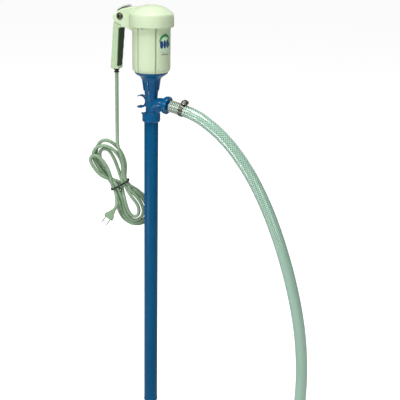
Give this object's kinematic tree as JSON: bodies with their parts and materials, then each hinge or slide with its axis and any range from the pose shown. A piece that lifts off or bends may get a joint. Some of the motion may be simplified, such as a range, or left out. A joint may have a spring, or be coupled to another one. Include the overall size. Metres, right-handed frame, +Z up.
{
  "type": "drum barrel pump",
  "caption": "Hand-held electric drum pump: cream motor head with folding grip and coiled power cord, blue immersion tube, side outlet with union nut, braided discharge hose.",
  "frame": {"origin": "middle of the foot's flat underside, on the immersion tube's axis", "axes": "+Z up along the immersion tube, +X towards the outlet, the grip on the -X side"},
  "size_m": [0.581, 0.3391, 0.962],
  "materials": {
    "blue": "smooth moulded polypropylene, deep blue",
    "cream": "satin moulded ABS, pale cream green",
    "black": "matt black rubber",
    "dark": "matt dark plastic",
    "grey": "satin light grey plastic",
    "steel": "stainless steel",
    "brass": "plain brass",
    "iron": "stacked steel sheets",
    "copper": "enamelled copper wire",
    "carbon": "matt carbon",
    "seal": "black seal rubber",
    "polymer": "white engineering polymer",
    "hose": "clear pale green PVC over a fine white braid",
    "cord": "satin pale grey-green sheath",
    "badge": "printed film"
  },
  "bodies": {
    "pump": {"outer_tube": "blue", "foot_strainer": "blue", "shaft_guard": "blue", "pump_head": "blue", "hose_nipple": "blue", "bush_low": "polymer", "bush_middle": "polymer", "bush_high": "polymer", "spacer_low": "polymer", "spacer_high": "polymer", "bearing_bracket": "polymer", "clamp_band": "steel", "clamp_housing": "steel", "lower_bearing": "steel", "upper_bearing": "steel", "cap_screw_1": "steel", "cap_screw_2": "steel", "cap_screw_3": "steel", "hinge_bolt": "steel", "hinge_nut": "steel", "nut_gasket": "seal", "shaft_seal": "seal", "hose": "hose", "stator_core": "iron", "stator_winding_low": "copper", "stator_winding_high": "copper", "carbon_brush_front": "carbon", "carbon_brush_back": "carbon", "brush_holder_front": "brass", "brush_holder_back": "brass", "motor_housing": "cream", "motor_cap": "cream", "badge": "badge", "switch_base": "dark"},
    "handle": {"handle_shell": "cream", "handle_insert": "dark", "cord_gland": "black"},
    "cord": {"power_cord": "cord", "cord_hank": "cord", "cord_tie": "black", "cord_tail": "cord", "plug_body": "cord", "plug_blade_left": "steel", "plug_blade_right": "steel"},
    "switch": {"switch_lever": "grey"},
    "rotor": {"motor_shaft": "steel", "armature_core": "iron", "armature_winding_low": "copper", "armature_winding_high": "copper", "commutator": "copper", "cooling_fan": "polymer", "coupling_driver": "polymer", "coupling_driven": "polymer", "drive_shaft": "steel", "impeller": "polymer"},
    "nut": {"union_nut": "blue"},
    "worm_screw": {"clamp_screw": "steel"}
  },
  "joints": [
    {"name": "handle_fold", "type": "hinge", "parent": "pump", "child": "handle", "pos_m": [-0.073, 0, 0.934], "axis": [0, 1, 0], "range_deg": [0, 90]},
    {"name": "cord_swing", "type": "hinge", "parent": "handle", "child": "cord", "pos_m": [-0.0887, 0, 0.8012], "axis": [0, 1, 0], "range_deg": [-90, 0]},
    {"name": "switch_press", "type": "hinge", "parent": "pump", "child": "switch", "pos_m": [-0.0684, 0, 0.9517], "axis": [0, 1, 0], "range_deg": [-4, 4]},
    {"name": "motor_spin", "type": "hinge", "parent": "pump", "child": "rotor", "pos_m": [0, 0, 0.862], "axis": [0, 0, 1], "continuous": true},
    {"name": "union_nut_turn", "type": "hinge", "parent": "pump", "child": "nut", "pos_m": [0.0443, 0, 0.7397], "axis": [0.9848, 0, -0.1736], "continuous": true},
    {"name": "clamp_screw_turn", "type": "hinge", "parent": "pump", "child": "worm_screw", "pos_m": [0.08556, 0, 0.75153], "axis": [0, 1, 0], "continuous": true}
  ],
  "couplings": [
    {"joint": "cord_swing", "follows": "handle_fold", "ratio": -1}
  ]
}
